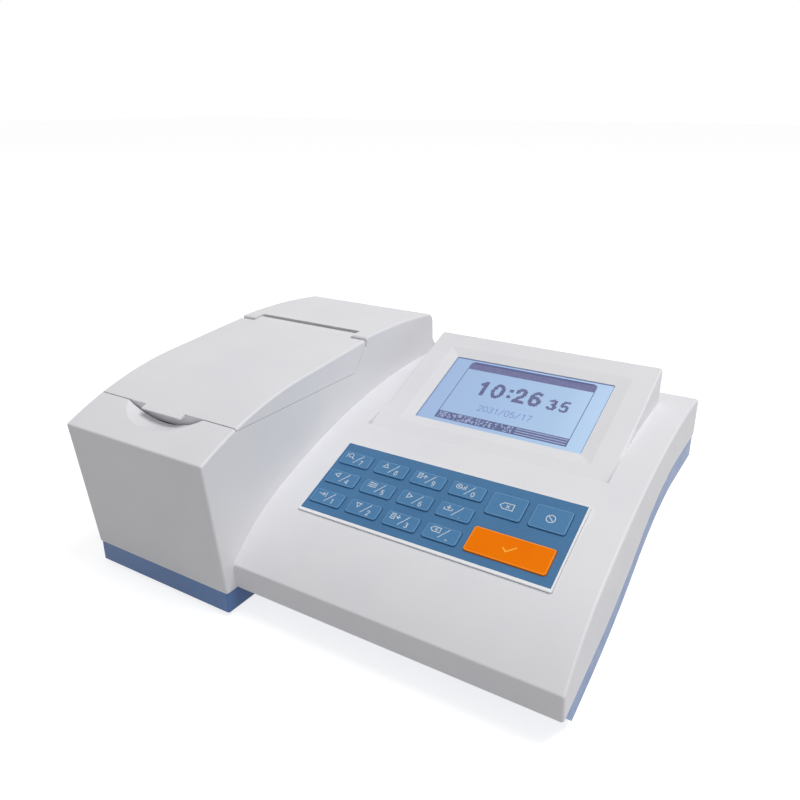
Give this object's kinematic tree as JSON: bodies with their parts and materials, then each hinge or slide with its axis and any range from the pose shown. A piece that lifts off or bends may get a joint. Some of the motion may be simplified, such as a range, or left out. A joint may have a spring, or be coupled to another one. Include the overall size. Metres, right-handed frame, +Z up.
{
  "type": "benchtop colorimeter",
  "caption": "Benchtop colorimeter: hinged lid over a sample cell chamber, beside a sloping console with a keypad and a tilted display.",
  "frame": {"origin": "centre of the footprint, on the surface that the feet stand on", "axes": "+X across from the photometer to the console's right end, +Y from the front to the rear, +Z up"},
  "size_m": [0.315, 0.2575, 0.1353],
  "materials": {
    "white_shell": "fine satin moulding",
    "blue_tray": "satin moulding",
    "blue_overlay": "printed film",
    "blue_key": "satin film",
    "orange_key": "satin film",
    "foot_rubber": "matte",
    "seal_foam": "matte foam",
    "steel": "plain",
    "black_anodised": "matte black anodised",
    "bench_aluminium": "plain",
    "clear_glass": "polished",
    "clear_window": "polished",
    "display_face": "pale blue display",
    "display_light": "white light guide",
    "filter_glass": "coloured glass",
    "black_plastic": "plain",
    "rocker_red": "glossy",
    "motor_case": "plain",
    "board_green": "solder resist",
    "chip_black": "plain",
    "ribbon_grey": "plain",
    "inlet_brass": "nickel plated",
    "port_metal": "plated"
  },
  "bodies": {
    "case": {"base_tray": "blue_tray", "board_components": "chip_black", "board_screws": "steel", "case_screws": "steel", "cell_holder": "black_anodised", "condenser_lens": "clear_glass", "console_cover": "white_shell", "data_port": "port_metal", "detector_board": "board_green", "display_ribbon": "ribbon_grey", "display_window": "clear_window", "feet": "foot_rubber", "fuse_holder": "black_plastic", "hinge_pins": "steel", "inlet_pins": "inlet_brass", "key_switches": "black_plastic", "keypad_board": "board_green", "keypad_frame": "white_shell", "keypad_overlay": "blue_overlay", "keypad_ribbon": "ribbon_grey", "lamp": "clear_glass", "lamp_housing": "black_anodised", "lcd_backlight": "display_light", "lcd_bezel": "steel", "lcd_board": "board_green", "lcd_glass": "display_face", "lens_tube": "black_anodised", "lid_seal": "seal_foam", "main_board": "board_green", "motor_bracket": "steel", "optical_base": "bench_aluminium", "photodiode": "black_plastic", "photometer_cover": "white_shell", "power_inlet": "black_plastic", "power_supply": "board_green", "rocker_housing": "black_plastic", "sample_deck": "black_anodised", "wheel_motor": "motor_case"},
    "lid": {"lid": "white_shell"},
    "cuvette": {"cuvette": "clear_glass"},
    "filter_wheel": {"filter_wheel": "black_plastic", "filters": "filter_glass", "motor_shaft": "steel"},
    "power_rocker": {"power_rocker": "rocker_red"},
    "key_7": {"key_7": "blue_key"},
    "key_8": {"key_8": "blue_key"},
    "key_9": {"key_9": "blue_key"},
    "key_0": {"key_0": "blue_key"},
    "key_4": {"key_4": "blue_key"},
    "key_5": {"key_5": "blue_key"},
    "key_6": {"key_6": "blue_key"},
    "key_dot": {"key_dot": "blue_key"},
    "key_1": {"key_1": "blue_key"},
    "key_2": {"key_2": "blue_key"},
    "key_3": {"key_3": "blue_key"},
    "key_minus": {"key_minus": "blue_key"},
    "key_clear": {"key_clear": "blue_key"},
    "key_cancel": {"key_cancel": "blue_key"},
    "key_enter": {"key_enter": "orange_key"}
  },
  "joints": [
    {"name": "lid_hinge", "type": "hinge", "parent": "case", "child": "lid", "pos_m": [-0.101, 0.0317, 0.1307], "axis": [-1, 0, 0], "range_deg": [0, 75]},
    {"name": "cuvette_lift", "type": "slide", "parent": "case", "child": "cuvette", "axis": [0, 0, 1], "range_m": [0, 0.013]},
    {"name": "filter_wheel_turn", "type": "hinge", "parent": "case", "child": "filter_wheel", "pos_m": [-0.101, -0.0078, 0.06], "axis": [0, 1, 0], "continuous": true},
    {"name": "power_rocker_tilt", "type": "hinge", "parent": "case", "child": "power_rocker", "pos_m": [0.0475, 0.1216, 0.035], "axis": [-1, 0, 0], "range_deg": [0, 24]},
    {"name": "key_7_press", "type": "slide", "parent": "case", "child": "key_7", "axis": [0, 0.3775, -0.926], "range_m": [0, 0.0007], "stiffness_N_per_m": 1500},
    {"name": "key_8_press", "type": "slide", "parent": "case", "child": "key_8", "axis": [0, 0.3775, -0.926], "range_m": [0, 0.0007], "stiffness_N_per_m": 1500},
    {"name": "key_9_press", "type": "slide", "parent": "case", "child": "key_9", "axis": [0, 0.3775, -0.926], "range_m": [0, 0.0007], "stiffness_N_per_m": 1500},
    {"name": "key_0_press", "type": "slide", "parent": "case", "child": "key_0", "axis": [0, 0.3775, -0.926], "range_m": [0, 0.0007], "stiffness_N_per_m": 1500},
    {"name": "key_4_press", "type": "slide", "parent": "case", "child": "key_4", "axis": [0, 0.3775, -0.926], "range_m": [0, 0.0007], "stiffness_N_per_m": 1500},
    {"name": "key_5_press", "type": "slide", "parent": "case", "child": "key_5", "axis": [0, 0.3775, -0.926], "range_m": [0, 0.0007], "stiffness_N_per_m": 1500},
    {"name": "key_6_press", "type": "slide", "parent": "case", "child": "key_6", "axis": [0, 0.3775, -0.926], "range_m": [0, 0.0007], "stiffness_N_per_m": 1500},
    {"name": "key_dot_press", "type": "slide", "parent": "case", "child": "key_dot", "axis": [0, 0.3775, -0.926], "range_m": [0, 0.0007], "stiffness_N_per_m": 1500},
    {"name": "key_1_press", "type": "slide", "parent": "case", "child": "key_1", "axis": [0, 0.3775, -0.926], "range_m": [0, 0.0007], "stiffness_N_per_m": 1500},
    {"name": "key_2_press", "type": "slide", "parent": "case", "child": "key_2", "axis": [0, 0.3775, -0.926], "range_m": [0, 0.0007], "stiffness_N_per_m": 1500},
    {"name": "key_3_press", "type": "slide", "parent": "case", "child": "key_3", "axis": [0, 0.3775, -0.926], "range_m": [0, 0.0007], "stiffness_N_per_m": 1500},
    {"name": "key_minus_press", "type": "slide", "parent": "case", "child": "key_minus", "axis": [0, 0.3775, -0.926], "range_m": [0, 0.0007], "stiffness_N_per_m": 1500},
    {"name": "key_clear_press", "type": "slide", "parent": "case", "child": "key_clear", "axis": [0, 0.3775, -0.926], "range_m": [0, 0.0007], "stiffness_N_per_m": 1500},
    {"name": "key_cancel_press", "type": "slide", "parent": "case", "child": "key_cancel", "axis": [0, 0.3775, -0.926], "range_m": [0, 0.0007], "stiffness_N_per_m": 1500},
    {"name": "key_enter_press", "type": "slide", "parent": "case", "child": "key_enter", "axis": [0, 0.3775, -0.926], "range_m": [0, 0.0007], "stiffness_N_per_m": 1500}
  ]
}
